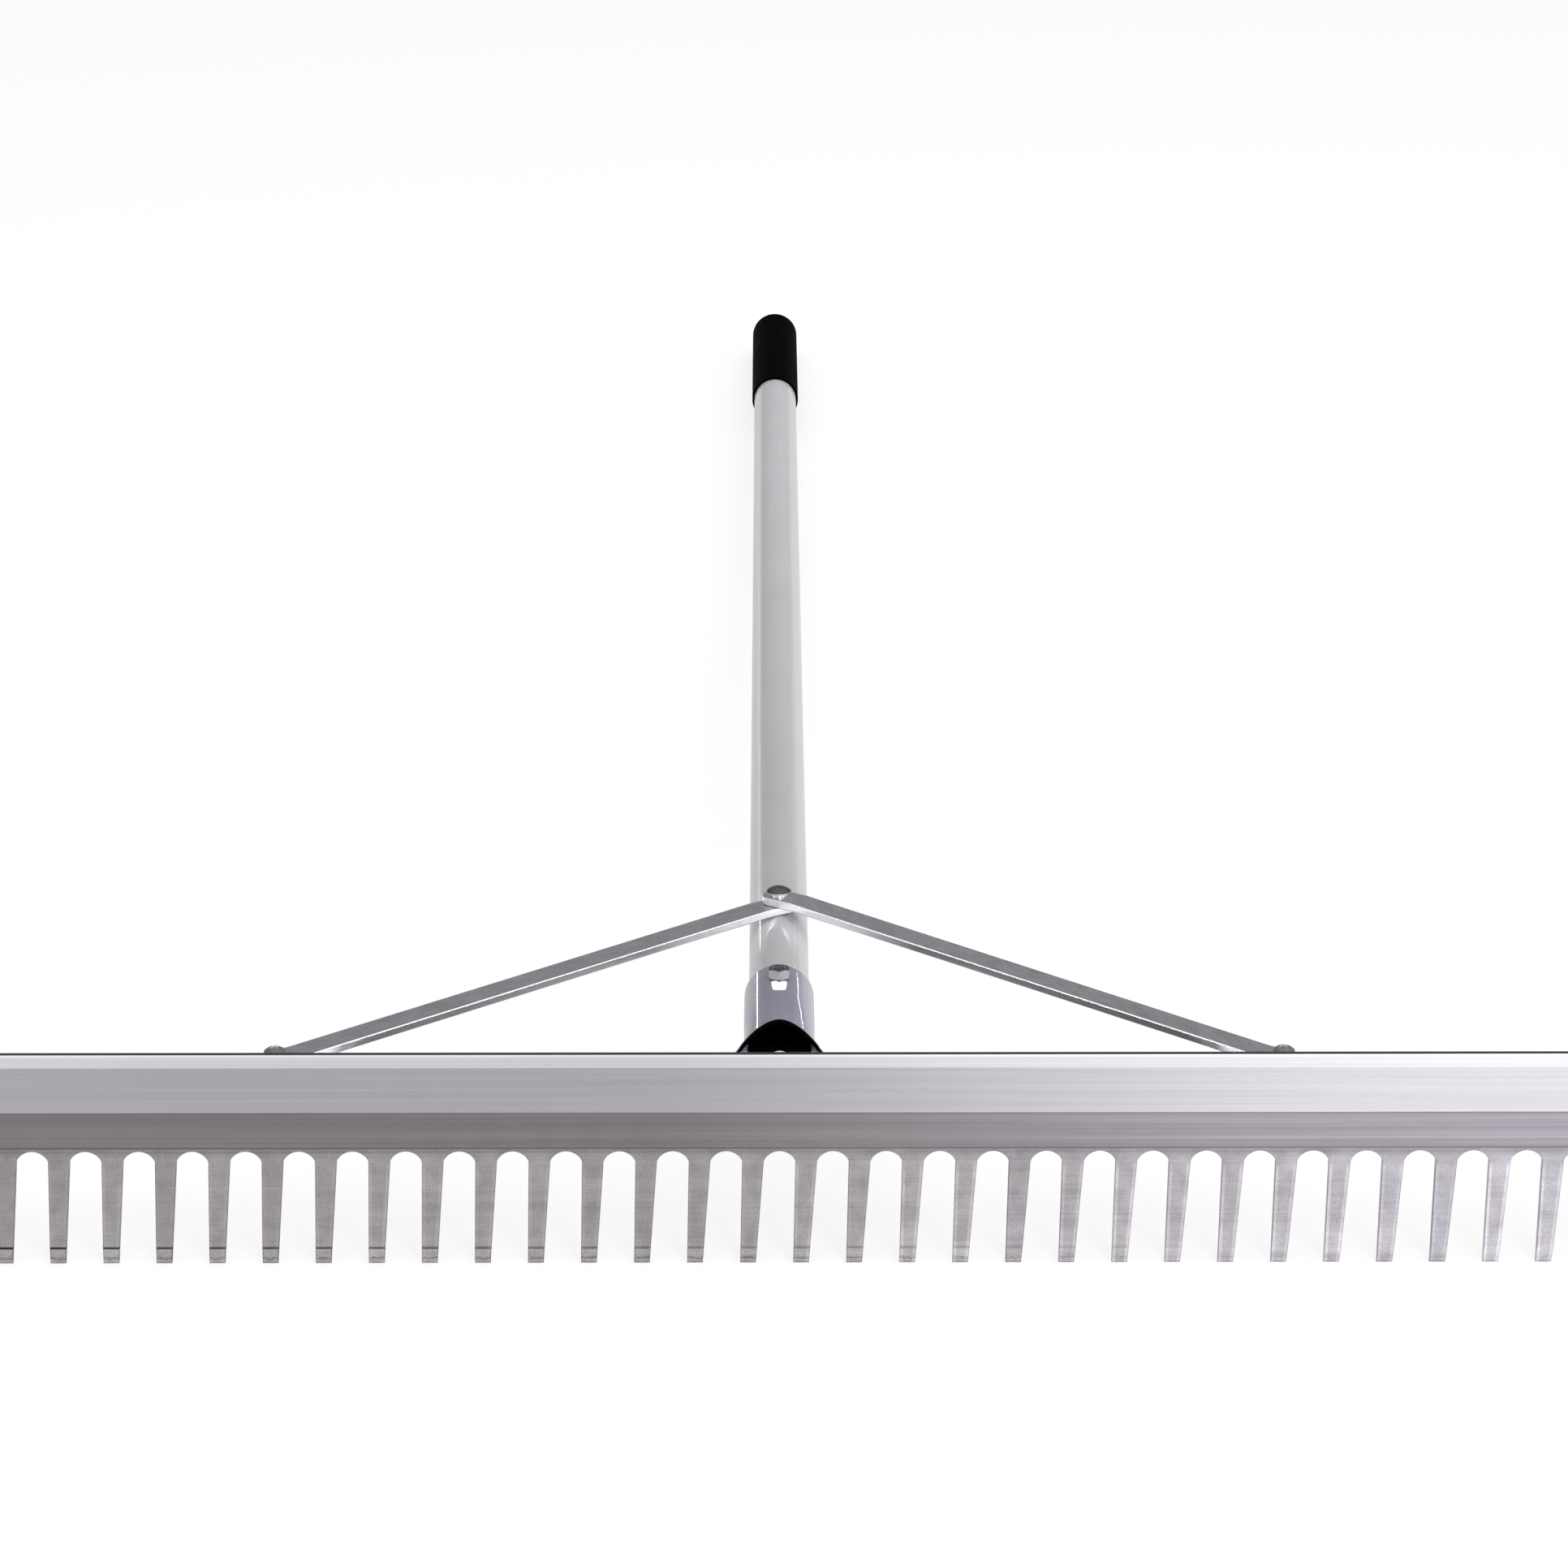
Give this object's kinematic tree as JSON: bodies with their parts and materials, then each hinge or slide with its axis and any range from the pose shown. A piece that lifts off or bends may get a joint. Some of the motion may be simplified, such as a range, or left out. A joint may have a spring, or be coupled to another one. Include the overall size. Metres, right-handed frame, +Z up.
{
  "type": "landscape rake",
  "caption": "Wide aluminium landscape rake: an extruded head with cut tines, a tube handle in a pressed ferrule, two flat braces and a black end grip.",
  "frame": {"origin": "on the floor under the middle of the rake's box, with the rake lying on its tine tips and the end of its grip", "axes": "+Y runs back from the head towards the grip, +X to the right seen from the front of the head, +Z up"},
  "size_m": [0.9144, 1.6284, 0.1188],
  "materials": {
    "head_aluminium": "brushed",
    "handle_aluminium": "satin",
    "grip_rubber": "matte",
    "ferrule_paint": "gloss",
    "brace_plate": "bright",
    "fastener_zinc": "bright"
  },
  "bodies": {
    "root": {"rake_head": "head_aluminium", "handle_tube": "handle_aluminium", "handle_grip": "grip_rubber", "ferrule": "ferrule_paint", "left_brace": "brace_plate", "right_brace": "brace_plate", "brace_joint_bolt": "fastener_zinc", "brace_joint_washer": "fastener_zinc", "brace_joint_nut": "fastener_zinc", "ferrule_bolt": "fastener_zinc", "ferrule_nut": "fastener_zinc", "tongue_screw": "fastener_zinc", "tongue_washer": "fastener_zinc", "tongue_nut": "fastener_zinc", "left_brace_screw": "fastener_zinc", "left_brace_washer": "fastener_zinc", "left_brace_nut": "fastener_zinc", "right_brace_screw": "fastener_zinc", "right_brace_washer": "fastener_zinc", "right_brace_nut": "fastener_zinc"}
  },
  "joints": []
}
